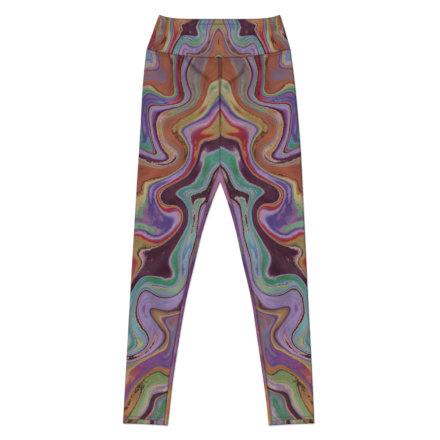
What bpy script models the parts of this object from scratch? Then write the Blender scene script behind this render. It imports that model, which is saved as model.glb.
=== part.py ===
"""Full-length leggings with a wide doubled waistband, laid flat on a table.

The garment lies on its back panels with the waist towards +Y. X runs across it and Z is up from the
table; the origin is in the middle of its underside. Left and right are the wearer's, so the left leg
lies at +X. Every piece is the cloth itself: a thin wall that runs over the garment's folds.
"""

import bmesh
import bpy
import numpy as np

MM = 0.001

# Driving sizes, in millimetres
LENGTH = 966.0  # from the waistband's top corners down to the lowest points of the hems
LEG_WALL = 1.0  # one layer of knit
BAND_WALL = 1.8  # two layers of knit, with their turned edges between them
LAYER_GAP = 0.4  # between the front layer and the back layer that it lies on
SEAM_GAP = 0.32  # between two pieces that meet at a seam
LEG_FOLD = 2.1  # outer radius of the legs' folds
BAND_FOLD = 2.5  # outer radius of the waistband's folds
SOFT_EDGE = 17.0  # how far in from a fold the front layer has come down to the back layer

# Waistband
BAND_SIDE = 80.0  # how far the waist seam lies below the top corners, at the folds
WAIST_DIP = 21.5  # how much lower the waist seam hangs at the centre
WAIST_HALF = 169.2  # half of the waist seam's width
WAIST_BEND = 2.2  # power of the waist seam's curve
TOP_DIP = 10.2  # how much lower the top edge hangs at the centre
TOP_BEND = 6.0  # power of the top edge's curve
SIDE_SEAM_TWIST = 13.0  # how far the side seams have turned off the folds at the waist seam
WAIST_RISE = 0.8  # lift of the leg cloth over the seam allowance at the waist seam
WAIST_RISE_REACH = 26.0
DIP_FADE = 90.0  # how far down the rows of the legs still follow the waist seam

# Crotch and gusset
CROTCH = 393.6  # how far the crotch lies below the top corners
CROTCH_X = 3.4
CROTCH_ROUND = 1.5  # radius of the crotch in plan
FRONT_TIP = 37.6  # the gusset's front tip above the crotch
BACK_TIP = 55.0  # the gusset's back tip above the crotch
SIDE_TIP = 63.0  # its side tips below the crotch
BACK_HALF = 16.0  # half of the gusset's width on the back, at the crotch
TIP_WIDTH = 1.3  # the gusset's side tips are this blunt

# Hems
HEM_SIDE = 961.2  # the hem below the top corners, at the outer folds
HEM_SLANT = LENGTH - HEM_SIDE  # how much lower it lies at the inner folds
HEM_BEND = 1.6
HEM_FADE = 80.0  # how far up the rows still follow the slanted hem
HEM_DEPTH = 18.0
HEM_RISE = 1.2  # lift of the front over the turned hems inside

# How many faces the grids have
FRONT_SPANS = 14
BACK_SPANS = 7
FOLD_SPANS = 4
BAND_ROWS = 4
BAND_SPANS = 20
GUSSET_FAN = 3
END_STEP = 0.7  # least distance between columns by an edge, in millimetres
EDGE_CROWDING = 0.55  # how much closer the front columns stand near the folds and the centre
SHARP_EDGE = 0.7  # radians, between faces that meet at a cut edge


def table(columns, *rows):
    """A dictionary with an array for each named column."""
    return dict(zip(columns, np.array(rows, dtype=float).T))


# The legs' outer folds, from the centre line
OUTER_FOLDS = table(
    ("below_top", "right", "left"),
    (80, -169.4, 169.0),
    (94, -171.2, 170.6),
    (132, -175.3, 175.8),
    (179, -179.3, 181.2),
    (249, -183.1, 187.8),
    (320, -187.2, 193.3),
    (390, -191.9, 197.0),
    (461, -196.2, 200.5),
    (555, -201.8, 205.1),
    (672, -208.9, 210.8),
    (790, -215.5, 217.1),
    (907, -222.1, 222.8),
    (966, -225.4, 225.4),
)

# The legs' inner folds, from the centre line
INNER_FOLDS = table(
    ("below_crotch", "right", "left"),
    (1.5, 1.9, 4.9),
    (8, -0.4, 7.2),
    (20, -5.2, 11.3),
    (43, -14.0, 19.4),
    (67, -22.4, 27.0),
    (114, -37.6, 40.0),
    (184, -54.6, 55.2),
    (278, -76.7, 76.9),
    (372, -92.9, 91.0),
    (466, -107.3, 104.9),
    (537, -115.6, 114.4),
    (573, -119.8, 117.8),
)

# The waistband's folds, from the centre line
BAND_FOLDS = table(
    ("below_top", "right", "left"),
    (0, -140.0, 145.0),
    (80, -168.9, 168.7),
)

# The centre seams of front and back, from the centre line
CENTRE_SEAM = table(
    ("below_top", "x"),
    (BAND_SIDE, 0.9),
    (190, 2.1),
    (270, 3.2),
    (CROTCH - BACK_TIP, CROTCH_X),
    (CROTCH, CROTCH_X),
)

# How far the inseam lies in from the inner fold, on the front
INSEAM = table(
    ("below_crotch", "right", "left"),
    (1.5, 13.8, 10.6),
    (19, 12.8, 10.4),
    (42, 11.4, 9.2),
    (63, 8.8, 8.4),
    (100, 7.6, 6.9),
    (300, 8.0, 7.0),
    (573, 9.0, 7.2),
)

# Soft creases in the front of the legs: points from the waist seam down, height and half width
CREASES = (
    {"points": ((-67, 98), (-65, 126), (-47, 140), (-24, 155), (-15, 174)), "height": 1.7, "width": 6.5},
    {"points": ((57, 98), (58, 120), (57, 138), (36, 154), (8, 174)), "height": 1.5, "width": 6.5},
)
CREASE_FADE = 0.3  # share of a crease's length in which it starts or runs out
CREASE_SWELL = 0.9  # the cloth stands this much off the back layer all round a crease
CREASE_SWELL_WIDTH = 17.0

# The groove at the centre-front seam below the waist
GROOVE = {"height": 0.9, "from_seam": 7.0, "width": 11.0, "ends": 190.0, "fades": 45.0}

# Levels of the legs' rows: the waist, the creases, the gusset, the legs and the hem
LEVELS_ABOVE_CROTCH = (80, 88, 96, 104, 112, 120, 129, 139, 150, 163, 180, 204, 234, 268, 304)
LEVELS_BY_CROTCH = (-BACK_TIP, -FRONT_TIP, -18, CROTCH_ROUND, 16, 30)
LEVELS_BY_CROTCH += (36, 39, 42, 45, 48, 55, SIDE_TIP, SIDE_TIP + 1.5)
LEVELS_BELOW_CROTCH = (486, 520, 560, 605, 650, 700, 750, 800, 850, 895, 924, 936, 946)

CLOTH_ROUGHNESS = 0.75
LEG_COLOUR = (0.29, 0.19, 0.17, 1.0)
BAND_COLOUR = (0.33, 0.20, 0.24, 1.0)
BAND_BACK_COLOUR = (0.33, 0.06, 0.09, 1.0)
GUSSET_COLOUR = (0.36, 0.16, 0.32, 1.0)


def clear_scene():
    for thing in list(bpy.data.objects):
        bpy.data.objects.remove(thing, do_unlink=True)


def smoothstep(value):
    """0 below 0, 1 above 1, and a smooth rise between."""
    t = np.clip(value, 0.0, 1.0)
    return t * t * (3.0 - 2.0 * t)


def curve_through(where, places, values):
    """A smooth curve through a table's rows: cubic pieces whose slopes come from their neighbours."""
    slopes = np.gradient(values, places)
    piece = np.clip(np.searchsorted(places, where) - 1, 0, len(places) - 2)
    span = places[piece + 1] - places[piece]
    t = (where - places[piece]) / span
    rise = t * t * (3.0 - 2.0 * t)
    start = values[piece] * (1.0 - rise) + values[piece + 1] * rise
    bend = slopes[piece] * t * (1.0 - t) ** 2 - slopes[piece + 1] * t * t * (1.0 - t)
    return start + span * bend


def outer_fold(level, side):
    return curve_through(level, OUTER_FOLDS["below_top"], OUTER_FOLDS[side])


def centre_seam(level):
    return curve_through(np.minimum(level, CROTCH), CENTRE_SEAM["below_top"], CENTRE_SEAM["x"])


def inner_fold(level, side):
    """The inner fold of a leg; above the crotch, the centre seam stands in for it."""
    below = np.maximum(level - CROTCH, CROTCH_ROUND)
    fold = curve_through(below, INNER_FOLDS["below_crotch"], INNER_FOLDS[side])
    return np.where(level < CROTCH, centre_seam(level), fold)


def front_edge(level, side):
    """How far in from the inner fold, or from the centre, the seam on the front lies."""
    below = level - CROTCH
    inseam = curve_through(np.maximum(below, CROTCH_ROUND), INSEAM["below_crotch"], INSEAM[side])
    widest = INSEAM[side][0] + CROTCH_ROUND
    beside_gusset = np.clip((below + FRONT_TIP) / (FRONT_TIP + CROTCH_ROUND), 0.0, 1.0) * widest
    return np.where(below < CROTCH_ROUND, beside_gusset, inseam)


def back_edge(level, side):
    """The same for the seam at the back: negative on the back panel, positive where it has come round."""
    below = level - CROTCH
    above = -np.clip((below + BACK_TIP) / (BACK_TIP + CROTCH_ROUND), 0.0, 1.0) * BACK_HALF
    tip = front_edge(np.full_like(level, CROTCH + SIDE_TIP), side) - TIP_WIDTH
    way = np.clip((below - CROTCH_ROUND) / (SIDE_TIP - CROTCH_ROUND), 0.0, 1.0)
    by_gusset = (CROTCH_ROUND - BACK_HALF) * (1.0 - way) + tip * way
    edge = np.where(below < CROTCH_ROUND, above, by_gusset)
    return np.where(below > SIDE_TIP, front_edge(level, side), edge)


def from_polyline(x, below, points):
    """How far each place lies from a line through the points, and how far along it, from 0 to 1."""
    points = np.array(points, dtype=float)
    nearest = np.full(np.shape(x), np.inf)
    along = np.zeros(np.shape(x))
    for number in range(len(points) - 1):
        start = points[number]
        run = points[number + 1] - start
        t = ((x - start[0]) * run[0] + (below - start[1]) * run[1]) / (run @ run)
        t = np.clip(t, 0.0, 1.0)
        far = np.hypot(x - start[0] - t * run[0], below - start[1] - t * run[1])
        along = np.where(far < nearest, (number + t) / (len(points) - 1), along)
        nearest = np.minimum(far, nearest)
    return nearest, along


def creases(x, below):
    """Height of the soft creases and of the centre-front groove's lips."""
    height = np.zeros(np.shape(x))
    for crease in CREASES:
        far, along = from_polyline(x, below, crease["points"])
        fade = smoothstep((1.0 - along) / CREASE_FADE) * smoothstep(along / CREASE_FADE)
        ridge = crease["height"] * np.exp(-((far / crease["width"]) ** 2))
        swell = CREASE_SWELL * np.exp(-((far / CREASE_SWELL_WIDTH) ** 2))
        height = height + (ridge + swell) * fade
    from_seam = np.abs(x - centre_seam(below))
    lips = np.exp(-(((from_seam - GROOVE["from_seam"]) / GROOVE["width"]) ** 2))
    fade = smoothstep((GROOVE["ends"] - below) / GROOVE["fades"])
    return np.maximum(height, GROOVE["height"] * lips * fade)


def leg_front_height(x, below, level, side):
    """Top of the legs' front layer: it lies on the back layer and rises to the folds."""
    from_outer = np.abs(outer_fold(level, side) - x)
    above_crotch = np.maximum(CROTCH - level, 0.0)
    from_inner = np.hypot(x - inner_fold(level, side), above_crotch)
    from_fold = np.minimum(from_outer, from_inner)
    lift = 1.0 - smoothstep((from_fold - LEG_FOLD) / (SOFT_EDGE - LEG_FOLD))
    waist = WAIST_RISE * (1.0 - smoothstep((level - BAND_SIDE) / WAIST_RISE_REACH))
    hem = HEM_RISE * smoothstep((level - HEM_SIDE + 2.0 * HEM_DEPTH) / HEM_DEPTH)
    flat = 2.0 * LEG_WALL + LAYER_GAP + waist + hem + creases(x, below)
    return flat + (2.0 * LEG_FOLD - flat) * lift


def waist_dip(x):
    """How much lower than at the folds the waist seam hangs at x."""
    return WAIST_DIP * (1.0 - np.clip(np.abs(x) / WAIST_HALF, 0.0, 1.0) ** WAIST_BEND)


def leg_below_top(x, level, side):
    """How far a place of a leg's row lies below the top corners: the rows follow seam and hem."""
    outer = outer_fold(level, side)
    inner = inner_fold(level, side)
    waist = waist_dip(x) * (1.0 - smoothstep((level - BAND_SIDE) / DIP_FADE))
    across = np.clip((outer - x) / (outer - inner), 0.0, 1.0)
    hem = HEM_SLANT * across**HEM_BEND * smoothstep((level - HEM_SIDE + HEM_FADE) / HEM_FADE)
    return level + waist + hem


def crowded(count):
    """Fractions from 0 to 1 that stand closer at both ends."""
    t = np.linspace(0.0, 1.0, count + 1)
    return t - EDGE_CROWDING * np.sin(2.0 * np.pi * t) / (2.0 * np.pi)


def round_fold(place, radius, inward):
    """Run in from a fold and height above the table, for places that count from the fold.

    A place is positive on the front and negative on the back. Within a radius of the fold it goes
    round the fold's half circle; inward is the depth under the cloth's outer face.
    """
    angle = 0.5 * np.pi * np.clip(place / radius, -1.0, 1.0)
    on_arc = np.abs(place) < radius
    run = np.where(on_arc, radius - (radius - inward) * np.cos(angle), np.abs(place))
    return run, radius + (radius - inward) * np.sin(angle)


def add_wall(name, outside, inside, colour):
    """One piece of cloth, from the grids of its outer and inner faces, in millimetres."""
    rows, columns, _ = outside.shape
    mesh = bpy.data.meshes.new(name)
    work = bmesh.new()
    outer = [[work.verts.new(place * MM) for place in row] for row in outside]
    inner = [[work.verts.new(place * MM) for place in row] for row in inside]
    for row in range(rows - 1):
        for column in range(columns - 1):
            for points, turn in ((outer, 1), (inner, -1)):
                ring = (
                    points[row][column],
                    points[row][column + 1],
                    points[row + 1][column + 1],
                    points[row + 1][column],
                )
                work.faces.new(ring[::turn])
    rim = [(0, column) for column in range(columns)]
    rim += [(row, columns - 1) for row in range(1, rows)]
    rim += [(rows - 1, column) for column in range(columns - 2, -1, -1)]
    rim += [(row, 0) for row in range(rows - 2, 0, -1)]
    for (row, column), (next_row, next_column) in zip(rim, rim[1:] + rim[:1]):
        work.faces.new((
            outer[next_row][next_column],
            outer[row][column],
            inner[row][column],
            inner[next_row][next_column],
        ))
    bmesh.ops.recalc_face_normals(work, faces=work.faces)
    work.to_mesh(mesh)
    work.free()
    mesh.shade_smooth()
    mesh.set_sharp_from_angle(angle=SHARP_EDGE)
    piece = bpy.data.objects.new(name, mesh)
    bpy.context.scene.collection.objects.link(piece)
    material = bpy.data.materials.new(name + "_cloth")
    material.use_nodes = True
    shader = material.node_tree.nodes["Principled BSDF"]
    shader.inputs["Base Color"].default_value = colour
    shader.inputs["Roughness"].default_value = CLOTH_ROUGHNESS
    shader.inputs["Metallic"].default_value = 0.0
    mesh.materials.append(material)
    return piece


def leg_levels():
    by_crotch = CROTCH + np.array(LEVELS_BY_CROTCH, dtype=float)
    levels = np.concatenate([LEVELS_ABOVE_CROTCH, by_crotch, LEVELS_BELOW_CROTCH, [HEM_SIDE]])
    levels = levels.astype(float)
    levels[0] = BAND_SIDE + 0.5 * SEAM_GAP
    return levels[:, None]


def places_to_end(end, fold, spans, step):
    """Places that go round a fold and on to an edge, or stand a step apart where it comes earlier."""
    whole = np.concatenate([np.linspace(-fold, fold, spans + 1), [0.0, 0.0]])
    whole = np.broadcast_to(whole, (len(end), spans + 3)).copy()
    whole[:, -2] = 0.5 * (fold + end[:, 0])
    whole[:, -1] = end[:, 0]
    return np.minimum(whole, end - step * np.arange(spans + 2, -1, -1)[None, :])


def leg_face(side, inward):
    """One face of a leg: from the front seam over the outer fold and the back to the seam again."""
    way = 1.0 if side == "left" else -1.0
    level = leg_levels()
    outer = outer_fold(level, side)
    inner = inner_fold(level, side)
    width = np.abs(outer - inner)
    start = front_edge(level, side) + 0.5 * SEAM_GAP
    end = back_edge(level, side) - 0.5 * SEAM_GAP

    front = start + (width - LEG_FOLD - start) * crowded(FRONT_SPANS)[None, :]
    round_outer = np.linspace(LEG_FOLD, -LEG_FOLD, FOLD_SPANS + 1)[None, 1:]
    last = places_to_end(end, LEG_FOLD, FOLD_SPANS, END_STEP)
    share = np.linspace(0.0, 1.0, BACK_SPANS + 1)[None, 1:-1]
    back = (LEG_FOLD - width) + (last[:, :1] + width - LEG_FOLD) * share
    inner_places = np.concatenate([back, last], axis=1)

    fold_run, fold_z = round_fold(round_outer, LEG_FOLD, inward)
    fold_x = outer - way * fold_run
    fold_z = np.broadcast_to(fold_z, fold_x.shape)
    inner_run, inner_z = round_fold(inner_places, LEG_FOLD, inward)
    above = level < CROTCH
    inner_run = np.where(above, np.abs(inner_places), inner_run)
    inner_z = np.where(above, inward, inner_z)
    x = np.concatenate([inner + way * front, fold_x, inner + way * inner_run], axis=1)
    below_top = leg_below_top(x, level, side)
    top = leg_front_height(x, below_top, level, side) - inward
    on_front = np.ones_like(front), np.zeros_like(fold_x), inner_places >= LEG_FOLD
    elsewhere = np.zeros_like(front), fold_z, inner_z
    z = np.where(np.concatenate(on_front, axis=1), top, np.concatenate(elsewhere, axis=1))
    return np.stack([x, 0.5 * LENGTH - below_top, z], axis=2)


def build_leg(side):
    """One leg, a single panel closed by its inseam."""
    return add_wall("leg_" + side, leg_face(side, 0.0), leg_face(side, LEG_WALL), LEG_COLOUR)


def gusset_lines():
    """The gusset's lines: fold point, front end, back end, and places of both ends from the fold."""
    half = 0.5 * SEAM_GAP
    centre = float(centre_seam(CROTCH))
    first = CROTCH + CROTCH_ROUND
    lines = []
    for side, way in (("right", -1.0), ("left", 1.0)):
        low = float(inner_fold(first, side))
        front_tip = np.array([centre, CROTCH - FRONT_TIP + SEAM_GAP])
        back_tip = np.array([centre, CROTCH - BACK_TIP + SEAM_GAP])
        front_low = np.array([low + way * (float(front_edge(first, side)) - half), first])
        back_low = np.array([low - way * (float(back_edge(first, side)) + half), first])
        rows = []
        # Near the crotch the lines fan out round it.
        for step in range(GUSSET_FAN):
            share = step / GUSSET_FAN
            angle = 0.5 * np.pi * share
            out = np.array([way * np.sin(angle), 1.0 - np.cos(angle)]) * CROTCH_ROUND
            fold = np.array([centre, CROTCH]) + out
            front = front_tip + (front_low - front_tip) * share
            back = back_tip + (back_low - back_tip) * share
            rows.append((fold, front, back, np.hypot(*(front - fold)), -np.hypot(*(back - fold))))
        # Below it they lie across the inner fold, on the same levels as the leg's rows.
        for below in LEVELS_BY_CROTCH:
            if CROTCH_ROUND <= below <= SIDE_TIP:
                level = CROTCH + below
                fold = np.array([float(inner_fold(level, side)), level])
                reach = float(front_edge(level, side)) - half
                place = float(back_edge(level, side)) + half
                out = np.array([way, 0.0])
                rows.append((fold, fold + out * reach, fold + out * max(abs(place), half), reach, place))
        lines.append(rows)
    return lines[0][::-1] + lines[1][1:]


def gusset_line(line, inward):
    """Points of one line over the fold, on one face of the gusset."""
    fold, front, back, reach, place = line
    whole = np.concatenate([
        np.linspace(reach, LEG_FOLD, 4)[:-1],
        np.linspace(LEG_FOLD, -LEG_FOLD, FOLD_SPANS + 1),
        np.linspace(-LEG_FOLD, min(place, -LEG_FOLD), 4)[1:],
    ])
    whole[-1] = place
    step = min((reach - place) / (len(whole) + 2.0), END_STEP)
    places = np.maximum(whole, place + step * np.arange(len(whole) - 1, -1, -1))
    run, height = round_fold(places, LEG_FOLD, inward)
    across = (front - fold) / np.hypot(*(front - fold))
    away = (back - fold) / np.hypot(*(back - fold))
    turn = np.clip(0.5 - 0.5 * places / LEG_FOLD, 0.0, 1.0)[:, None]
    direction = across * (1.0 - turn) + away * turn
    direction = direction / np.linalg.norm(direction, axis=1)[:, None]
    x, below = (fold + direction * run[:, None]).T
    on_right = leg_front_height(x, below, below, "right")
    on_left = leg_front_height(x, below, below, "left")
    top = np.where(x < CROTCH_X, on_right, on_left) - inward
    z = np.where(places >= LEG_FOLD, top, height)
    return np.stack([x, 0.5 * LENGTH - below, z], axis=1)


def build_gusset():
    """The gusset: lines that run from its front seams over the crotch fold to its back seams."""
    lines = gusset_lines()
    outside = np.array([gusset_line(line, 0.0) for line in lines])
    inside = np.array([gusset_line(line, LEG_WALL) for line in lines])
    return add_wall("gusset", outside, inside, GUSSET_COLOUR)


def band_fold(down, side):
    """The waistband's fold, for a share of the way down its side."""
    return BAND_FOLDS[side][0] + (BAND_FOLDS[side][1] - BAND_FOLDS[side][0]) * down


def band_below_top(x, down):
    """How far a place of the waistband lies below the top corners: between its top edge and its seam."""
    right = band_fold(down, "right")
    left = band_fold(down, "left")
    across = np.clip((2.0 * x - right - left) / (left - right), -1.0, 1.0)
    lowest_right, lowest_left = BAND_FOLDS["right"][1], BAND_FOLDS["left"][1]
    x_at_seam = 0.5 * (lowest_right + lowest_left + across * (lowest_left - lowest_right))
    top = TOP_DIP * (1.0 - np.abs(across) ** TOP_BEND)
    seam = BAND_SIDE - 0.5 * SEAM_GAP + waist_dip(x_at_seam)
    return top + (seam - top) * down


def band_front_height(x, down):
    """Top of the waistband's front: it lies on the back and rises to the folds."""
    from_fold = np.minimum(x - band_fold(down, "right"), band_fold(down, "left") - x)
    lift = 1.0 - smoothstep((from_fold - BAND_FOLD) / (SOFT_EDGE - BAND_FOLD))
    flat = 2.0 * BAND_WALL + LAYER_GAP
    return flat + (2.0 * BAND_FOLD - flat) * lift


def band_face(part, inward):
    """One face of the waistband's front or back: it crosses and goes round one fold to its seam.

    The ring has turned on the garment: the right side seam lies on the front and the left one on the
    back, and both lie further from the folds the lower they are.
    """
    down = np.linspace(0.0, 1.0, BAND_ROWS + 1)[:, None]
    twist = SIDE_SEAM_TWIST * down
    right = band_fold(down, "right")
    left = band_fold(down, "left")
    face = 1.0 if part == "front" else -1.0
    near, far = (right, left) if part == "front" else (left, right)

    # Places count from the near fold, then from the far one; here they are positive on this side.
    begin = twist + 0.5 * SEAM_GAP
    start = np.maximum(np.linspace(0.0, BAND_FOLD, 3)[None, :], begin + END_STEP * np.arange(3)[None, :])
    last = -places_to_end(twist - 0.5 * SEAM_GAP, BAND_FOLD, FOLD_SPANS, END_STEP)
    span = left - right - last[:, :1] - start[:, -1:]
    across = start[:, -1:] + span * crowded(BAND_SPANS)[None, 1:-1]
    near_places = np.concatenate([start, across], axis=1) * face
    far_places = last * face
    near_run, near_z = round_fold(near_places, BAND_FOLD, inward)
    far_run, far_z = round_fold(far_places, BAND_FOLD, inward)
    x = np.concatenate([near + face * near_run, far - face * far_run], axis=1)
    places = np.concatenate([near_places, far_places], axis=1)
    top = band_front_height(x, down) - inward
    z = np.where(places >= BAND_FOLD, top, np.concatenate([near_z, far_z], axis=1))
    return np.stack([x, 0.5 * LENGTH - band_below_top(x, down), z], axis=2)


def build_band(part, colour):
    """Half of the waistband."""
    return add_wall("waistband_" + part, band_face(part, 0.0), band_face(part, BAND_WALL), colour)


def main():
    clear_scene()
    build_band("front", BAND_COLOUR)
    build_band("back", BAND_BACK_COLOUR)
    build_leg("right")
    build_leg("left")
    build_gusset()


main()
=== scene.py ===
import bpy
import numpy as np
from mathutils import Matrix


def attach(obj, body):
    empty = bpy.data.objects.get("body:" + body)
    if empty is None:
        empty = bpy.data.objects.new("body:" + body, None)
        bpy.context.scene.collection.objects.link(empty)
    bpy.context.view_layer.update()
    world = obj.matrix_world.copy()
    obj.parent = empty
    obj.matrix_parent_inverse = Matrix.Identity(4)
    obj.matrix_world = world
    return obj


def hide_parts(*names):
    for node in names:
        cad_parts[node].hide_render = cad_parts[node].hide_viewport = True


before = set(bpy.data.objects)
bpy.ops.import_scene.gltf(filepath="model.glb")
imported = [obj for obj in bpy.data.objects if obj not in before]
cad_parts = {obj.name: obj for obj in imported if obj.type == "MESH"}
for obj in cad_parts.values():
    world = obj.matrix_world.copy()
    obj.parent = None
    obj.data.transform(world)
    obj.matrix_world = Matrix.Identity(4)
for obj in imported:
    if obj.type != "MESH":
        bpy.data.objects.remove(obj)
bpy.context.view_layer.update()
print("frame loaded:", ", ".join(sorted(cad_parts)))

mm = 0.001

# The garment's own form in millimetres. A level counts down from the waistband's top corners, at the
# outer folds. A place counts along the cloth from a fold: positive on the front, negative on the back.
form = {
    "length": 966.0,
    "layerGap": 0.4,  # between the front layer and the back layer
    "softEdge": 17.0,  # how far in from a fold the front layer has come down
    "seamGap": 0.1,  # between the pieces' edges at a seam
    "bandSide": 80.0,  # height of the waistband at its sides
    "waistDip": 21.5,  # how much lower the waist seam hangs at the centre
    "waistHalf": 169.2,
    "waistBend": 2.2,  # power by which the dip flattens towards the sides
    "waistRise": 0.8,  # lift of the legs' cloth over the seam allowance there
    "waistRiseReach": 26.0,
    "dipFade": 90.0,
    "crotch": 393.6,
    "crotchRound": 1.5,
    "frontTip": 37.6,  # tips of the gusset above and below the crotch
    "backTip": 55.0,
    "sideTip": 63.0,
    "backHalf": 16.0,
    "tipWidth": 1.3,
    "hemSide": 961.2,  # level of the hem at the outer folds
    "hemSlant": 4.8,  # how much lower it lies at the inner folds
    "hemBend": 1.6,
    "hemFade": 80.0,
    "hemRise": 1.2,  # lift of the front over the turned hems
}
halfGap, halfLength = 0.5 * form["seamGap"], 0.5 * form["length"]
crotch, crotchRound, sideTip = form["crotch"], form["crotchRound"], form["sideTip"]
sides = {"left": 1.0, "right": -1.0}  # the sign of x on each side
tiny = 1e-6  # stands in for zero where it divides


# A dictionary with an array for each named column
def table(columns, *rows):
    return dict(zip(columns, np.array(rows, dtype=float).T))


outerFolds = table(
    ("level", "right", "left"),
    (80, -169.4, 169.0),
    (94, -171.2, 170.6),
    (132, -175.3, 175.8),
    (179, -179.3, 181.2),
    (249, -183.1, 187.8),
    (320, -187.2, 193.3),
    (390, -191.9, 197.0),
    (461, -196.2, 200.5),
    (555, -201.8, 205.1),
    (672, -208.9, 210.8),
    (790, -215.5, 217.1),
    (907, -222.1, 222.8),
    (966, -225.4, 225.4),
)
innerFolds = table(
    ("belowCrotch", "right", "left"),
    (1.5, 1.9, 4.9),
    (8, -0.4, 7.2),
    (20, -5.2, 11.3),
    (43, -14.0, 19.4),
    (67, -22.4, 27.0),
    (114, -37.6, 40.0),
    (184, -54.6, 55.2),
    (278, -76.7, 76.9),
    (372, -92.9, 91.0),
    (466, -107.3, 104.9),
    (537, -115.6, 114.4),
    (573, -119.8, 117.8),
)
centreSeams = table(("level", "x"), (80, 0.9), (190, 2.1), (270, 3.2), (338.6, 3.4), (393.6, 3.4))
bandFolds = table(("level", "right", "left"), (0, -140.0, 145.0), (80, -168.9, 168.7))

# How far the inseam lies in from the inner fold, on the front
inseams = table(
    ("belowCrotch", "right", "left"),
    (1.5, 13.8, 10.6),
    (19, 12.8, 10.4),
    (42, 11.4, 9.2),
    (63, 8.8, 8.4),
    (100, 7.6, 6.9),
    (300, 8.0, 7.0),
    (573, 9.0, 7.2),
)


# Share of the way from start to stop, kept from 0 to 1
def wayShare(value, start, stop):
    return np.clip((value - start) / (stop - start), 0.0, 1.0)


# Soft rise from 0 at start to 1 at stop: 3 t squared less 2 t cubed, for t the share of the way
def softRise(value, start, stop):
    t = wayShare(value, start, stop)
    return t * t * (3.0 - 2.0 * t)


# Bell: e to the power of minus the square of distance over reach
def bell(distance, reach):
    return np.exp(-((distance / reach) ** 2))


# A bell of a pair's height and reach
def raised(distance, pair):
    height, reach = pair
    return height * bell(distance, reach)


# Quarter round: how far back a circle lies, at a distance from the edge that it rounds
def quarterRound(distance, radius):
    return radius - np.sqrt(radius**2 - np.maximum(radius - distance, 0.0) ** 2)


# Vectors made one long, each over its own length
def unit(vectors):
    return vectors / np.linalg.norm(vectors, axis=-1, keepdims=True)


# How far along a path its points lie: the sum of the steps before each
def pathLengths(points):
    return np.concatenate([[0.0], np.cumsum(np.linalg.norm(np.diff(points, axis=0), axis=1))])


# Cubic pieces through the rows of a table, their slopes taken from the neighbouring rows
def curveThrough(where, places, values):
    slopes = np.gradient(values, places)
    piece = np.clip(np.searchsorted(places, where) - 1, 0, len(places) - 2)
    span = places[piece + 1] - places[piece]
    t = (where - places[piece]) / span
    rise = t * t * (3.0 - 2.0 * t)
    between = values[piece] * (1.0 - rise) + values[piece + 1] * rise
    return between + span * (slopes[piece] * t * (1.0 - t) ** 2 - slopes[piece + 1] * t * t * (1.0 - t))


# Columns side by side, each widened to all rows by adding zero
def sideBySide(*columns):
    rows = max(len(column) for column in columns)
    return np.concatenate([column + np.zeros((rows, 1)) for column in columns], axis=1)


# A leg's outer fold, the curve through its table
def outerFold(level, side):
    return curveThrough(level, outerFolds["level"], outerFolds[side])


# The centre seam, the curve through its table down to the crotch
def centreSeam(level):
    return curveThrough(np.minimum(level, crotch), centreSeams["level"], centreSeams["x"])


# A leg's inner fold, the curve through its table; above the crotch the centre seam stands in for it
def innerFold(level, side):
    below = np.maximum(level - crotch, crotchRound)
    fold = curveThrough(below, innerFolds["belowCrotch"], innerFolds[side])
    return np.where(level < crotch, centreSeam(level), fold)


# How far in from the inner fold, or from the centre, the seam on the front lies: a straight run from the
# gusset's tip, then the inseam's curve
def frontEdge(level, side):
    below = level - crotch
    inseam = curveThrough(np.maximum(below, crotchRound), inseams["belowCrotch"], inseams[side])
    widest = inseams[side][0] + crotchRound
    besideGusset = wayShare(below, -form["frontTip"], crotchRound) * widest
    return np.where(below < crotchRound, besideGusset, inseam)


# The same at the back, in straight runs from tip to tip of the gusset: negative on the back panel,
# positive where it has come round the fold
def backEdge(level, side):
    below, half = level - crotch, form["backHalf"]
    above = -wayShare(below, -form["backTip"], crotchRound) * half
    tip = frontEdge(np.full_like(level, crotch + sideTip), side) - form["tipWidth"]
    way = wayShare(below, crotchRound, sideTip)
    edge = np.where(below < crotchRound, above, (crotchRound - half) * (1.0 - way) + tip * way)
    return np.where(below > sideTip, frontEdge(level, side), edge)


# How much lower the waist seam hangs than at the folds: the dip times one less a power of the share out
def waistDip(x):
    return form["waistDip"] * (1.0 - wayShare(np.abs(x), 0.0, form["waistHalf"]) ** form["waistBend"])


# Run in from a fold, and height. On the fold's half circle a place is an angle, and depth is taken off
# the radius; past it the run is the place itself.
def roundFold(place, radius, depth):
    angle = 0.5 * np.pi * np.clip(place / radius, -1.0, 1.0)
    run = np.where(np.abs(place) < radius, radius - (radius - depth) * np.cos(angle), np.abs(place))
    return run, radius + (radius - depth) * np.sin(angle)


# Height of a front layer: its flat height, rising softly to the fold's as it comes near the fold
def riseToFold(flat, fromFold, fold):
    return flat + (2.0 * fold - flat) * (1.0 - softRise(fromFold, fold, form["softEdge"]))


edgeSteps = np.array((0.0, 0.3, 0.7, 1.2, 1.9, 2.8, 4.0, 5.5, 7.5))  # columns beside a seam
endShares = np.array((0.25, 0.5, 0.7, 0.85, 0.95, 1.0))  # of the way from a fold to a seam near it
endStep = 0.3  # columns that would meet there stand this far apart


# Columns from the back of a fold round it to a seam: even on the fold, then in shares of the way, pushed
# back from the seam where they would meet
def roundToSeam(fold, spans, end):
    columns = sideBySide(np.linspace(-fold, fold, spans + 1)[None, :], fold + (end - fold) * endShares)
    return np.minimum(columns, end - endStep * np.arange(columns.shape[1] - 1, -1, -1))


# Points of folded cloth. Each group of columns has its fold, the way in from there, the fold's radius and
# the places. A point lies by the half circle, or on the front at the layer's height, less the depth.
def foldedCloth(groups, depth, belowAt, heightAt):
    columns = [[values + 0.0 * group[-1] for values in group] for group in groups]
    folds, ways, radii, places = (sideBySide(*parts) for parts in zip(*columns))
    run, onFold = roundFold(places, radii, depth)
    x = folds + ways * run
    below = belowAt(x)
    z = np.where(places >= radii, heightAt(x, below) - depth, onFold)
    return np.stack([x, halfLength - below, z], axis=2)


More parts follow.
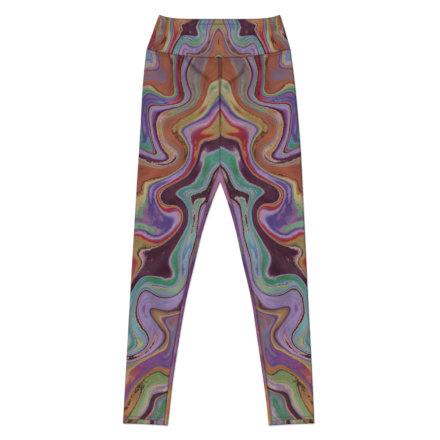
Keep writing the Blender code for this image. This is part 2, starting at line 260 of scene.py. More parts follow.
# A smooth line through points: the curve through each coordinate, in a few steps from point to point
def smoothLine(points, steps=4):
    x, below = np.array(points, dtype=float).T
    last = len(points) - 1
    at = np.linspace(0.0, last, steps * last + 1)
    return np.stack([curveThrough(at, np.arange(last + 1.0), values) for values in (x, below)], axis=1)


# Distance from a line of points, by its nearest straight run, and the share of the line up to there
def fromLine(x, below, points):
    nearest, along = 0.0 * x + np.inf, 0.0 * x
    for number, (start, run) in enumerate(zip(points, np.diff(points, axis=0))):
        t = np.clip(((x - start[0]) * run[0] + (below - start[1]) * run[1]) / (run @ run), 0.0, 1.0)
        far = np.hypot(x - start[0] - t * run[0], below - start[1] - t * run[1])
        along = np.where(far < nearest, (number + t) / (len(points) - 1), along)
        nearest = np.minimum(far, nearest)
    return nearest, along


# Creases in the front of the legs. Each line is height, half width, how far the cloth round it stands
# off, the shares of its length over which its ends fade in, and its points.
creasing = {
    "lines": (
        (1.9, 4.6, 0.8, (0.0, 0.35), ((-77, 98), (-68, 114), (-52, 130), (-28, 150), (-13, 163))),
        (1.7, 4.6, 0.8, (0.45, 0.25), ((59, 98), (60, 118), (54, 138), (36, 154), (8, 174))),
        (0.6, 5.0, 0.2, (0.0, 0.5), ((-120, 88), (-112, 104), (-98, 120))),
        (0.6, 5.5, 0.2, (0.0, 0.5), ((122, 90), (112, 108), (104, 128))),
        (0.6, 7.0, 0.15, (0.3, 0.4), ((-8, 352), (-32, 362), (-62, 360), (-90, 348))),
        (0.65, 7.5, 0.15, (0.3, 0.4), ((14, 356), (38, 368), (70, 366), (98, 352))),
        (0.4, 6.0, 0.1, (0.3, 0.4), ((-14, 322), (-40, 338), (-66, 336))),
        (0.35, 6.0, 0.1, (0.3, 0.4), ((22, 318), (46, 330), (74, 326))),
        (0.45, 9.0, 0.1, (0.3, 0.3), ((-60, 590), (-100, 602), (-150, 596), (-186, 604))),
        (0.4, 9.0, 0.1, (0.3, 0.3), ((66, 604), (104, 596), (150, 606), (190, 598))),
        (0.4, 8.0, 0.1, (0.3, 0.3), ((-112, 826), (-150, 838), (-192, 832))),
        (0.4, 8.0, 0.1, (0.3, 0.3), ((112, 838), (154, 830), (200, 842))),
    ),
    "trough": (0.8, 0.62),  # its share of the height, and of the half width
    "lips": 2.1,  # how many half widths wide the raised lips beside a crease are
    "swellWidth": 17.0,
    # painted shade in the creases
    "shade": 0.42,  # for each millimetre of height
    "seamLips": (1.6, 5.2),  # height and reach of two lips beside the centre seam
    "lipsFromSeam": 7.2,
    "lipsEnd": (140.0, 200.0),
}


# Height and painted shade of the creases. Across each line a broad bell less a narrow one leaves a trough
# between two lips, and the shade is a bell. Two more lips stand beside the centre seam, down to where they
# fade.
def creaseForm(x, below):
    height, shade = 0.0 * x, 0.0 * x
    troughShare, troughWidth = creasing["trough"]
    for rise, width, swell, (first, last), points in creasing["lines"]:
        far, along = fromLine(x, below, smoothLine(points))
        fade = softRise(1.0 - along, 0.0, last) * softRise(along + tiny, 0.0, first + tiny)
        lips = bell(far, creasing["lips"] * width) - troughShare * bell(far, troughWidth * width)
        height += fade * (rise * lips + swell * bell(far, creasing["swellWidth"]))
        shade = np.maximum(shade, creasing["shade"] * rise * fade * bell(far, width))
    lips = raised(np.abs(x - centreSeam(below)) - creasing["lipsFromSeam"], creasing["seamLips"])
    return np.maximum(height, lips * (1.0 - softRise(below, *creasing["lipsEnd"]))), shade


unevenness = {
    "broad": 0.16,  # height of the broad waves and of the narrow ones
    "narrow": 0.06,
}


# Slow unevenness of laid cloth, from 0 up: broad and narrow products of two sine waves, whose numbers are
# millimetres for a radian
def laidWaves(x, below):
    broad = np.sin(x / 31.0 + 0.8 * np.sin(below / 83.0)) * np.sin(below / 57.0 + 0.6)
    narrow = np.sin(x / 13.0 + below / 41.0) * np.sin(below / 29.0 - x / 60.0)
    return unevenness["broad"] * (1.0 + broad) + unevenness["narrow"] * (1.0 + narrow)


# Legs

legs = {
    "wall": 1.0,  # one layer of knit
    "fold": 2.1,  # outer radius of the folds
    "roll": (0.62, 1.0),  # how deep an edge turns in at a seam, and over what reach
    "hemDepth": 18.0,
    "hemTurn": 0.75,  # thickness of the cloth turned up inside
    "waistRows": (2.6, 8.2),  # the twin rows of stitching, from the waist seam
    "hemRows": (16.5, 10.5),  # and from the hem
    "rowDip": (0.3, 0.75),
    "pucker": (0.13, 7.5),
    "puckerLength": 10.5,
    "puckerDrift": (1.3, 37.0),  # how unevenly the puckers follow each other
    "puckerEnds": (3.0, 4.0),  # they die away this near to the waist seam and to the hem
    # How dark the painted shade makes the cloth beside each line, and over what reach
    "seamShade": (0.7, 1.1),
    "waistShade": (0.85, 1.2),
    "inseamShade": (0.8, 3.0),
    "inseamStart": (-60.0, -20.0),  # where that begins, from the crotch
    # painted shade at the folds is darker on the folds at +x, which face away from the lamp
    "outerShade": {"left": (1.0, 2.3), "right": (0.2, 3.0)},
    "innerShade": {"left": (0.1, 3.0), "right": (0.55, 4.0)},
    "hemShade": (0.55, 3.0),
    "rowShade": (0.5, 1.1),
    "printShift": {"left": 4.0, "right": 0.0},  # down the leg, as each is cut on its own
    "hemJump": 46.0,  # between the print above the hem's lower row and below it
    "edgePrint": (14.0, 48.0),  # the bands run along the back's edge up to the first, past the second not
    "rowStep": 3.3,  # between the rows of the grid
    "spans": 50,  # columns on each panel
    "foldSpans": 8,
    "flat": (0.392, 0.892),  # the cut in metres: all round, and down; and its area
    "area": 0.267,
}
turnedEnd = legs["hemDepth"] - 0.1  # just short of the row that the turned cloth ends on
legTop = form["bandSide"] + halfGap


# Levels of the rows: close together at the seam, the rows of stitching and the hem, even between them
def legLevels():
    hem = form["hemSide"]
    byRow = np.array((-1.3, -0.6, 0.0, 0.6, 1.3))
    byTop = np.array((0.0, 0.3, 0.7, 1.3, 2.1, 4.9, 6.0, 10.9, 13.0, 15.0, 17.5))
    byHem = (0.0, 0.06, 0.2, 0.45, 0.87, 1.6, 2.8, 4.4, 6.4, 8.2, 13.5, 17.85, 18.0, 19.5, 21.5, 24.0)
    fine = [legTop + byTop, hem - np.array(byHem)]
    fine += [legTop + row + byRow for row in legs["waistRows"]]
    fine += [hem - row + byRow for row in legs["hemRows"]]
    tips = np.array((-form["backTip"], -form["frontTip"], -1.0, crotchRound, sideTip, sideTip + 1.5))
    stations = [legTop + byTop[-1], *(crotch + tips), hem - byHem[-1]]
    for start, stop in zip(stations[:-1], stations[1:]):
        count = max(1, int(round((stop - start) / legs["rowStep"])))
        fine.append(np.linspace(start, stop, count + 1))
    return np.unique(np.round(np.concatenate(fine), 3))[:, None]


# Top of the legs' front layer: flat with waist, hem, creases and slow waves added, rising at the folds
def legFrontHeight(x, below, level, side):
    fromOuter = np.abs(outerFold(level, side) - x)
    fromInner = np.hypot(x - innerFold(level, side), np.maximum(crotch - level, 0.0))
    waist = form["waistRise"] * (1.0 - softRise(level - form["bandSide"], 0.0, form["waistRiseReach"]))
    hem = form["hemRise"] * softRise(level - form["hemSide"], -2.0 * legs["hemDepth"], -legs["hemDepth"])
    layers = 2.0 * legs["wall"] + form["layerGap"]
    flat = layers + waist + hem + creaseForm(x, below)[0] + laidWaves(x, below)
    return riseToFold(flat, np.minimum(fromOuter, fromInner), legs["fold"])


# How far a row's place lies below the top corners: its level, the waist seam's dip fading out down the
# leg, and towards the hem a slant by a power of the share of the way in
def legBelowTop(x, level, side):
    waist = waistDip(x) * (1.0 - softRise(level - form["bandSide"], 0.0, form["dipFade"]))
    across = wayShare(x, outerFold(level, side), innerFold(level, side))
    hem = form["hemSlant"] * across ** form["hemBend"]
    return level + waist + hem * softRise(level - form["hemSide"], -form["hemFade"], 0.0)


# Places of the columns on each row: from the front seam out to the fold, round it, and over the back to
# the seam again, close together beside both seams and round the folds
def legPlaces(side, level):
    fold, spans = legs["fold"], legs["foldSpans"]
    width = np.abs(outerFold(level, side) - innerFold(level, side))
    start, end = frontEdge(level, side) + halfGap, backEdge(level, side) - halfGap
    share = np.linspace(0.0, 1.0, legs["spans"] + 1)
    near = start + edgeSteps
    front = sideBySide(near, near[:, -1:] + (width - fold - near[:, -1:]) * share[1:])
    outer = np.linspace(fold, -fold, spans + 1)[1:] + 0.0 * level
    last = roundToSeam(fold, spans, end)
    back = (fold - width) + (last[:, :1] + width - fold) * share[1:-1]
    return {"start": start, "end": end, "width": width, "front": front, "outer": outer,
            "inner": sideBySide(back, last)}


# Points of a leg at a depth under its outer face: folded cloth, flat to the centre above the crotch, as
# if round a fold of next to no radius
def legSurface(side, level, places, depth):
    outer, inner, way = outerFold(level, side), innerFold(level, side), sides[side]
    radius = np.where(level < crotch, tiny, legs["fold"])
    groups = ((inner, way, radius, places["front"]), (outer, -way, legs["fold"], places["outer"]),
              (inner, way, radius, places["inner"]))
    return foldedCloth(groups, depth, lambda x: legBelowTop(x, level, side),
                       lambda x, below: legFrontHeight(x, below, level, side))


farAway = 99.0


# Distances along the cloth, as differences of places or levels: to the nearest side seam, from which the
# outer fold counts as far away, to the waist seam and to the hem
def legDistances(level, places):
    onFold = 0.0 * places["outer"] + farAway
    seam = sideBySide(places["front"] - places["start"], onFold, places["end"] - places["inner"])
    return seam, level - level[0], level[-1] - level


# Distances from the twin rows of stitching, at the waist and at the hem
def fromRows(waist, hem):
    return [waist - row for row in legs["waistRows"]] + [hem - row for row in legs["hemRows"]]


# Depth of the outer face: bells where it turns in at the seams and along the rows of stitching, a quarter
# round at the hem's fold, and between the rows small puckers, sines along them
def legOuterDepth(level, places, across):
    seam, waist, hem = legDistances(level, places)
    depth = np.maximum(raised(seam, legs["roll"]), raised(waist, legs["roll"]))
    depth = depth + quarterRound(hem, 0.5 * (legs["wall"] + legs["hemTurn"]))
    for row in fromRows(waist, hem):
        depth = depth + raised(row, legs["rowDip"])
    (drift, driftLength), (waistEnd, hemEnd) = legs["puckerDrift"], legs["puckerEnds"]
    ends = softRise(hem, 0.0, hemEnd) * softRise(waist, 0.0, waistEnd)
    for phase, row in enumerate((waist - np.mean(legs["waistRows"]), hem - np.mean(legs["hemRows"]))):
        turn = 2.0 * np.pi * across / legs["puckerLength"] + drift * np.sin(across / driftLength)
        depth = depth + np.sin(turn + phase) * raised(row, legs["pucker"]) * ends
    return depth


# Depth of the inner face: one wall, and at the hem the cloth turned up under it, less the quarter round
def legInnerDepth(level, places):
    seam, _, hem = legDistances(level, places)
    turned = legs["hemTurn"] * (hem < turnedEnd)
    return legs["wall"] + turned - quarterRound(hem, 0.5 * (legs["wall"] + legs["hemTurn"])) + 0.0 * seam


# Centre seam below the waist: painted shade where its allowances lie under the cloth, wider on the left
# leg's side
groove = {
    "wide": {"left": 7.4, "right": 1.6},
    "narrow": {"left": 3.6, "right": 1.6},
    "narrows": (110.0, 190.0),
    "fades": (225.0, 300.0),
    "shade": 0.62,
    "soft": 2.0,  # width over which the shade ends
    "edge": (0.42, 1.5),  # darker still along its edge
    "edgeIn": 1.4,
    "hollow": (0.3, 15.0),  # a broad soft shade at the waist seam
    "hollowDown": 45.0,
}


# Painted shade of the centre seam: even over its allowances with a bell along their edge, narrowing and
# then fading down the front, and a broad bell at the waist seam
def grooveShade(side, level, places):
    fromCentre = places["front"] - places["start"]
    wide, narrow, soft = groove["wide"][side], groove["narrow"][side], 0.5 * groove["soft"]
    past = fromCentre - wide - (narrow - wide) * softRise(level, *groove["narrows"])
    even = groove["shade"] * (1.0 - softRise(past, -soft, soft))
    edge = raised(past + groove["edgeIn"], groove["edge"])
    hollow = raised(fromCentre, groove["hollow"]) * bell(level - form["bandSide"], groove["hollowDown"])
    front = np.maximum(even + edge, hollow) * (1.0 - softRise(level, *groove["fades"]))
    return sideBySide(front, 0.0 * places["outer"], 0.0 * places["inner"])


# Painted shade of a leg, the strongest of several: bells at the seams and rows of stitching, a wider
# one along gusset and inseam, rims at the folds and the hem, the centre seam and the creases
def legShade(side, level, places, points, down):
    seam, waist, hem = legDistances(level, places)
    x = points[:, :, 0]
    first = places["front"].shape[1]
    besideGusset = raised(seam, legs["inseamShade"]) * softRise(level - crotch, *legs["inseamStart"])
    besideGusset[:, first:] = 0.0
    rims = (raised(x - outerFold(level, side), legs["outerShade"][side]),
            raised(x - innerFold(level, side), legs["innerShade"][side]) * (level > crotch),
            raised(hem, legs["hemShade"]))
    layers = [raised(seam, legs["seamShade"]), raised(waist, legs["waistShade"]), besideGusset, *rims,
              grooveShade(side, level, places), creaseForm(x, down)[1] * (points[:, :, 2] > legs["fold"])]
    layers += [raised(row, legs["rowShade"]) for row in fromRows(waist, hem)]
    return np.max(np.broadcast_arrays(*layers), axis=0)


# The printed design: bands of dye, in millimetres of the cut, that curls turn about their middles

curls = table(
    ("across", "down", "reach", "turn"),
    (60, 170, 50, -0.9),
    (150, 180, 52, 1.3),
    (104, 300, 54, -1.5),
    (176, 344, 50, 1.2),
    (250, 300, 60, 1.2),
    (118, 452, 50, -1.7),
    (176, 520, 60, 1.1),
    (262, 520, 55, -1.4),
    (132, 640, 56, 1.6),
    (186, 742, 60, -1.3),
    (280, 700, 60, 1.2),
    (150, 868, 48, 1.3),
    (250, 870, 50, -1.0),
)
swells = table(
    ("size", "length", "byAcross", "byDown", "phase"),
    (9.0, 61.0, 0.021, 0.006, 1.1),
    (6.0, 37.0, -0.012, 0.014, 0.2),
)
marbling = {
    "stretch": 1.25,
    "slant": 0.53,
    "start": 575.0,
    "longWave": (18.2, 497.0, 5.65),  # size, length and phase
    "shortWave": (8.3, 133.0, 0.23),
    "shortSlope": 70.0,  # across the cut for each radian by which the short wave shifts
    "sway": (17.4, 207.0, 0.48),
}


# A sine wave of a size, length and phase
def wave(where, sizes, extra=0.0):
    size, length, phase = sizes
    return size * np.sin(2.0 * np.pi * where / length + phase + extra)


# Place across the bands. Each curl turns a point about its middle by an angle that dies away as a bell,
# waves bend it, and the slant mixes across with down. Swells, waves along the place itself, widen some
# bands and fold a few back.
def printPlace(across, down):
    cutAcross, cutDown = across[..., None], down[..., None]
    for middle, level, reach, turn in zip(*curls.values()):
        right, under = across - middle, down - level
        angle = turn * bell(np.hypot(right, under), reach)
        across = middle + right * np.cos(angle) - under * np.sin(angle)
        down = level + right * np.sin(angle) + under * np.cos(angle)
    bent = across + wave(down, marbling["longWave"])
    bent = bent + wave(down, marbling["shortWave"], across / marbling["shortSlope"])
    swayed = down + wave(across, marbling["sway"])
    slant = marbling["slant"]
    place = marbling["stretch"] * (swayed * np.sin(slant) - bent * np.cos(slant)) + marbling["start"]
    angles = 2.0 * np.pi * place[..., None] / swells["length"] + swells["phase"]
    angles = angles + cutAcross * swells["byAcross"] + cutDown * swells["byDown"]
    return place + np.sum(swells["size"] * np.sin(angles), axis=-1)


# Dyes, as red, green and blue from 0 to 255
dyes = {
    "rust": (148, 86, 66),
    "umber": (58, 32, 30),
    "ochre": (158, 118, 78),
    "olive": (148, 142, 92),
    "straw": (176, 162, 112),
    "mint": (112, 148, 120),
    "green": (62, 124, 78),
    "steel": (92, 124, 162),
    "pale": (134, 172, 178),
    "lilac": (150, 132, 174),
    "mauve": (150, 106, 146),
    "violet": (86, 66, 126),
    "plum": (118, 66, 116),
    "burgundy": (68, 25, 50),
    "brown": (52, 28, 30),
    "crimson": (150, 46, 58),
    "orange": (176, 108, 82),
    "beige": (182, 146, 146),
    "grey": (128, 108, 112),
    "teal": (92, 146, 144),
    "dusk": (112, 88, 110),
}

# The bands in order: dye, the dye that it drifts into if there is one, and width
bandList = """
rust 36, umber 2, ochre-orange 7, olive-straw 8, straw-beige 4, green-mint 9, mauve-dusk 4, violet 10,
lilac-mauve 10, beige 2, plum-mauve 7, crimson 10, orange-ochre 5, ochre-olive 5, umber 2, beige 3,
burgundy 32, plum-brown 5, beige-pale 3, teal-steel 6, green-teal 9, steel-violet 4, pale-lilac 3,
violet-brown 3, straw-olive 4, mint-green 5, lilac-pale 4, steel-teal 7, teal-mint 4, beige 2,
brown-burgundy 12, beige 2, mauve-plum 5, lilac 21, mauve-dusk 5, umber 4, grey-rust 8, olive-ochre 9,
straw-beige 3, crimson-orange 5, plum 12, violet-steel 6, dusk-grey 8, orange-crimson 5, rust-ochre 18,
brown-umber 3, green-olive 13, olive-mint 8, beige-straw 3, mauve-lilac 6, burgundy-brown 22, crimson 6,
beige 3, grey-dusk 6, teal-green 5, steel-lilac 6, lilac-beige 5, mint-teal 5, straw 3, ochre-orange 6,
plum-mauve 14, violet-burgundy 4, grey-dusk 10, rust 22, umber 2, orange-straw 5, beige 2, olive-green 8,
green 9, teal-pale 4, violet 9, mauve-plum 5, crimson 7, brown 8, straw-ochre 4, steel-teal 4,
lilac-grey 11, plum-violet 7, burgundy 14, beige 2, ochre-rust 9, mint-olive 5, dusk-grey 10,
grey-olive 8
"""

dyeBands = [row.replace("-", " ").split() for row in bandList.split(",")]
dyeWidths = np.array([float(band[-1]) for band in dyeBands])

# Noise that works on the print: scale for each metre, detail, roughness, gain and offset
printNoise = {
    "jag": (105.0, 2.5, 0.55, 18.0, -9.0),  # frays the bands' edges, in millimetres
    "jagged": (14.0, 1.0, 0.5, 4.0, -1.6),  # where they are frayed
    "wander": (17.0, 1.0, 0.5, 30.0, -15.0),
    "grain": (420.0, 1.0, 0.5, 6.4, -3.2),
    "streak": (1.0, 4.0, 0.65, 1.0, -0.5),
    "region": (6.0, 1.0, 0.5, 5.0, -2.15),  # where a band takes its second dye
    "drift": (11.0, 2.0, 0.5, 0.72, -0.36),
    "mud": (31.0, 2.0, 0.5, 1.6, -0.55),
    "hue": (23.0, 1.0, 0.5, 0.06, 0.47),
}
printing = {
    "edgeSoftness": 2.4,  # on each side of a band's edge
    "softShare": 0.4,  # but at most this share of a band's width
    "rampBands": 15,  # painted by one ramp, which holds 32 colours
    "waistbandSize": 1.7,  # how much finer the noise is there
    "streakAcross": 0.17,
    "streakAlong": 16.0,
    "streakMix": 2.4,
    "mudShare": 0.29,
    "value": 0.755,
    "saturation": 1.05,
}


# A dye as linear light: each share of 255 by the power curve that screens use
def linear(colour):
    return (*[float(((value / 255.0 + 0.055) / 1.055) ** 2.4) for value in colour], 1.0)


# Sets a node's inputs by name or number, or links those that are given a socket
def setInputs(tree, node, inputs):
    for name, value in inputs.items():
        if isinstance(value, bpy.types.NodeSocket):
            tree.links.new(value, node.inputs[name])
        else:
            node.inputs[name].default_value = value


# A node with its settings and inputs
def addNode(tree, kind, inputs=None, **settings):
    node = tree.nodes.new(kind)
    for name, value in settings.items():
        setattr(node, name, value)
    setInputs(tree, node, inputs or {})
    return node


# A sum, product or other operation on up to three numbers
def addMath(tree, operation, *given, clamp=False):
    inputs = dict(enumerate(given))
    return addNode(tree, "ShaderNodeMath", inputs, operation=operation, use_clamp=clamp).outputs[0]


# Mixes two colours, or blends them in another way
def addMix(tree, factor, first, second, blend="MIX"):
    inputs = {0: factor, 6: first, 7: second}
    return addNode(tree, "ShaderNodeMix", inputs, data_type="RGBA", blend_type=blend).outputs[2]


# Noise from 0 to 1 times a gain, plus an offset
def addNoise(tree, vector, scale, detail=2.0, roughness=0.5, gain=1.0, offset=0.0, clamp=False):
    inputs = {"Vector": vector, "Scale": scale, "Detail": detail, "Roughness": roughness}
    noise = addNode(tree, "ShaderNodeTexNoise", inputs).outputs["Fac"]
    if (gain, offset) == (1.0, 0.0):
        return noise
    return addMath(tree, "MULTIPLY_ADD", noise, gain, offset, clamp=clamp)


# A ramp with a colour at each of its positions
def addRamp(tree, share, stops):
    ramp = addNode(tree, "ShaderNodeValToRGB", {"Fac": share})
    marks = ramp.color_ramp.elements
    marks.remove(marks[1])
    marks[0].position, marks[0].color = stops[0]
    for position, colour in stops[1:]:
        marks.new(position).color = colour
    return ramp.outputs["Color"]


# Colour across the bands, in the first or the last of each one's dyes: a ramp for each group of bands,
# taking over where the one before it ends
def paintBands(tree, place, dye):
    edges = np.concatenate([[0.0], np.cumsum(dyeWidths)])
    soft = np.minimum(printing["edgeSoftness"], printing["softShare"] * dyeWidths)
    colours = [linear(dyes[band[:-1][dye]]) for band in dyeBands]
    wrapped = addMath(tree, "WRAP", place, float(edges[-1]), 0.0)
    colour = None
    for first in range(0, len(dyeBands), printing["rampBands"]):
        group = range(first, min(first + printing["rampBands"], len(dyeBands)))
        start, stop = float(edges[first]), float(edges[group[-1] + 1])
        limits = {"Value": wrapped, "From Min": start, "From Max": stop}
        share = addNode(tree, "ShaderNodeMapRange", limits).outputs[0]
        stops = [((offset - start) / (stop - start), colours[number]) for number in group
                 for offset in (edges[number] + soft[number], edges[number + 1] - soft[number])]
        painted = addRamp(tree, share, stops)
        passed = addMath(tree, "GREATER_THAN", wrapped, start)
        colour = painted if colour is None else addMix(tree, passed, colour, painted)
    return colour


# Knit: wales along the leg and courses across it, the loops leaning both ways as a fine jersey's do
knit = {
    "wale": 0.62,
    "course": 0.5,
    "lean": 1.6,
    "swing": 0.3,  # of the loops along a wale
    "ridgeShare": 0.55,
    "bump": 0.35,
    "depth": 0.00012,
    # painted shade between the loops: how much darker the low parts of the loops are drawn
    "shade": 0.08,
    "shadeMiddle": 0.62,  # height at which that leaves the colour as it is
    "fuzz": (900.0, 0.35),  # scale and height of fine noise
    "roughness": 0.76,
    "roughnessSpread": 0.14,
    "specular": 0.13,
    "sheen": 0.06,
    "sheenRoughness": 0.45,
    # painted shade at seams, rows of stitching, folds, hems and creases multiplies the colour by this tone
    "seamTone": (0.30, 0.26, 0.29, 1.0),  # what a seam's shade multiplies the colour by
}


# A new material
def newMaterial(name):
    material = bpy.data.materials.new(name)
    material.use_nodes = True
    return material, material.node_tree


# A new material of cloth or thread, with the cut map and its two parts
def newCloth(name):
    material, tree = newMaterial(name)
    cut = addNode(tree, "ShaderNodeUVMap", uv_map="cut").outputs["UV"]
    parts = addNode(tree, "ShaderNodeSeparateXYZ", {"Vector": cut}).outputs
    return material, tree, cut, parts


# Height of the loops: the size of a sine across the wales, and a sine along them that leans with it
def knitHeight(tree, parts):
    wale = addMath(tree, "DIVIDE", parts[0], knit["wale"] * mm)
    course = addMath(tree, "DIVIDE", parts[1], knit["course"] * mm)
    ridge = addMath(tree, "ABSOLUTE", addMath(tree, "SINE", addMath(tree, "MULTIPLY", wale, np.pi)))
    turn = addMath(tree, "MULTIPLY", course, 2.0 * np.pi)
    leaning = addMath(tree, "SINE", addMath(tree, "MULTIPLY_ADD", ridge, knit["lean"], turn))
    loop = addMath(tree, "MULTIPLY_ADD", leaning, knit["swing"], 0.5)
    share = knit["ridgeShare"]
    return addMath(tree, "MULTIPLY_ADD", ridge, share, addMath(tree, "MULTIPLY", loop, 1.0 - share))


# A knit's shader: painted shade between the loops and at seams, folds and creases, soft sheen and a fine
# bump
def finishKnit(material, cut, parts, colour):
    tree = material.node_tree
    height = knitHeight(tree, parts)
    # painted shade between the loops, by their height
    shade = addMath(tree, "MULTIPLY_ADD", height, knit["shade"], 1.0 - knit["shadeMiddle"] * knit["shade"])
    shades = addNode(tree, "ShaderNodeCombineColor", {0: shade, 1: shade, 2: shade}).outputs[0]
    colour = addMix(tree, 1.0, colour, shades, "MULTIPLY")
    # painted shade from the seamShade attribute, at seams, rows of stitching, folds, hems and creases
    seam = addNode(tree, "ShaderNodeAttribute", attribute_name="seamShade").outputs["Fac"]
    colour = addMix(tree, seam, colour, addMix(tree, 1.0, colour, knit["seamTone"], "MULTIPLY"))
    fuzzScale, fuzzHeight = knit["fuzz"]
    mottle = addNoise(tree, cut, fuzzScale)
    fuzzy = addMath(tree, "MULTIPLY_ADD", mottle, fuzzHeight, height)
    relief = {"Height": fuzzy, "Strength": knit["bump"], "Distance": knit["depth"]}
    bump = addNode(tree, "ShaderNodeBump", relief)
    spread = knit["roughnessSpread"]
    setInputs(tree, tree.nodes["Principled BSDF"], {
        "Base Color": colour,
        "Roughness": addMath(tree, "MULTIPLY_ADD", mottle, spread, knit["roughness"] - 0.5 * spread),
        "Normal": bump.outputs["Normal"],
        "Specular IOR Level": knit["specular"],
        "Sheen Weight": knit["sheen"],
        "Sheen Roughness": knit["sheenRoughness"],
    })
    return material


# The marbled print: noise added to the place across the bands makes their edges wander and fray. A band
# drifts into its second dye in slow regions and in streaks that run along it.
def printedKnit(name, scale=1.0):
    material, tree, cut, parts = newCloth(name)

    # Noise by its name in the settings
    def noise(key, vector=cut, size=scale, clamp=False):
        perMetre, *rest = printNoise[key]
        return addNoise(tree, vector, perMetre * size, *rest, clamp=clamp)

    place = addNode(tree, "ShaderNodeAttribute", attribute_name="printPlace").outputs["Fac"]
    jag = addMath(tree, "MULTIPLY", noise("jag"), noise("jagged", clamp=True))
    wandering = addMath(tree, "ADD", place, addMath(tree, "ADD", noise("wander"), jag))
    grained = addMath(tree, "ADD", wandering, noise("grain", size=1.0))
    flow = addNode(tree, "ShaderNodeCombineXYZ", {
        "X": addMath(tree, "MULTIPLY", wandering, printing["streakAcross"]),
        "Y": addMath(tree, "MULTIPLY", parts[1], printing["streakAlong"] * scale),
        "Z": addMath(tree, "MULTIPLY", parts[0], printing["streakAlong"] * scale),
    })
    streak = noise("streak", flow.outputs[0], 1.0)
    region = addMath(tree, "MULTIPLY_ADD", streak, printing["streakMix"], noise("region"), clamp=True)
    colour = addMix(tree, region, paintBands(tree, grained, 0), paintBands(tree, grained, -1))
    muddy = addMath(tree, "MULTIPLY", noise("mud", clamp=True), printing["mudShare"])
    toned = addNode(tree, "ShaderNodeHueSaturation", {
        "Color": addMix(tree, muddy, colour, linear(dyes["grey"])),
        "Hue": noise("hue"),
        "Saturation": printing["saturation"],
        "Value": addMath(tree, "ADD", addMath(tree, "ADD", streak, printing["value"]), noise("drift")),
    })
    return finishKnit(material, cut, parts, toned.outputs["Color"])


undyed = {"pale": (0.80, 0.78, 0.76, 1.0), "grey": (0.58, 0.54, 0.56, 1.0), "clouds": 22.0}


# The reverse of a printed knit: undyed yarn with a little of the print showing through as cloudy grey
def reverseKnit(name):
    material, tree, cut, parts = newCloth(name)
    colour = addMix(tree, addNoise(tree, cut, undyed["clouds"]), undyed["pale"], undyed["grey"])
    return finishKnit(material, cut, parts, colour)


gussetStreaks = {
    "dark": (0.3, (113, 71, 103)),  # where in the noise each dye lies, and the dye
    "mauve": (0.44, (146, 99, 131)),
    "mauveEnd": (0.6, (146, 99, 131)),
    "pale": (0.72, (170, 139, 149)),
    "across": 60.0,  # how close they lie, across the gusset and along it
    "along": 9.0,
    "waver": (30.0, 1.4),  # scale and size of their bends
}


# The gusset's cloth: mauve, with faint streaks of paler and darker dye that run along it
def gussetKnit(name):
    material, tree, cut, parts = newCloth(name)
    scale, size = gussetStreaks["waver"]
    waver = addNoise(tree, cut, scale, gain=size)
    flow = addNode(tree, "ShaderNodeCombineXYZ", {
        "X": addMath(tree, "MULTIPLY_ADD", parts[0], gussetStreaks["across"], waver),
        "Y": addMath(tree, "MULTIPLY", parts[1], gussetStreaks["along"]),
    })
    marks = (gussetStreaks[key] for key in ("dark", "mauve", "mauveEnd", "pale"))
    stops = [(position, linear(colour)) for position, colour in marks]
    return finishKnit(material, cut, parts, addRamp(tree, addNoise(tree, flow.outputs[0], 1.0), stops))


# Sewing thread: two plies that twist along the stitch, by a sine of the way along and round it, with
# painted shade between them
def threadMaterial(name, colour):
    material, tree, _, parts = newCloth(name)
    turn = addMath(tree, "MULTIPLY", parts[1], 2.0 * np.pi)
    along = addMath(tree, "MULTIPLY_ADD", parts[0], 2.0 * np.pi / (stitching["twist"] * mm), turn)
    ply = addMath(tree, "MULTIPLY_ADD", addMath(tree, "SINE", along), 0.5, 0.5)
    dark = (*[stitching["dark"] * value for value in colour[:3]], 1.0)
    bump = addNode(tree, "ShaderNodeBump", {"Height": ply, "Strength": 0.5, "Distance": 0.0001})
    setInputs(tree, tree.nodes["Principled BSDF"], {
        "Base Color": addMix(tree, ply, dark, colour),
        "Roughness": 0.5,
        "Normal": bump.outputs["Normal"],
        "Sheen Weight": 0.1,
    })
    return material


# A new object in the scene
def addToScene(name, data):
    holder = bpy.data.objects.new(name, data)
    bpy.context.scene.collection.objects.link(holder)
    return holder


# A new piece from points, groups of faces, the cut map and attributes of the points. It stands for a node
# where one is named.
def newPiece(name, node, points, faces, cut, attributes, materials, faceMaterials=None):
    mesh = bpy.data.meshes.new(name)
    mesh.from_pydata(points * mm, [], [corners for group in faces for corners in group.tolist()])
    loops = np.concatenate([group.ravel() for group in faces])
    layer = mesh.uv_layers.new(name="cut")
    layer.data.foreach_set("uv", (cut[loops] * mm).astype(np.float32).ravel())
    for key, values in attributes.items():
        attribute = mesh.attributes.new(key, "FLOAT", "POINT")
        attribute.data.foreach_set("value", values.astype(np.float32).ravel())
    for material in materials:
        mesh.materials.append(material)
    if faceMaterials is not None:
        mesh.polygons.foreach_set("material_index", faceMaterials.astype(np.int32))
    mesh.update(calc_edges=True)
    mesh.validate()
    mesh.shade_smooth()
    mesh.set_sharp_from_angle(angle=1.0)
    piece = addToScene(name, mesh)
    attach(piece, "root")
    if node:
        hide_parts(node)
    print(name, "made:", len(mesh.polygons), "faces")
    return piece


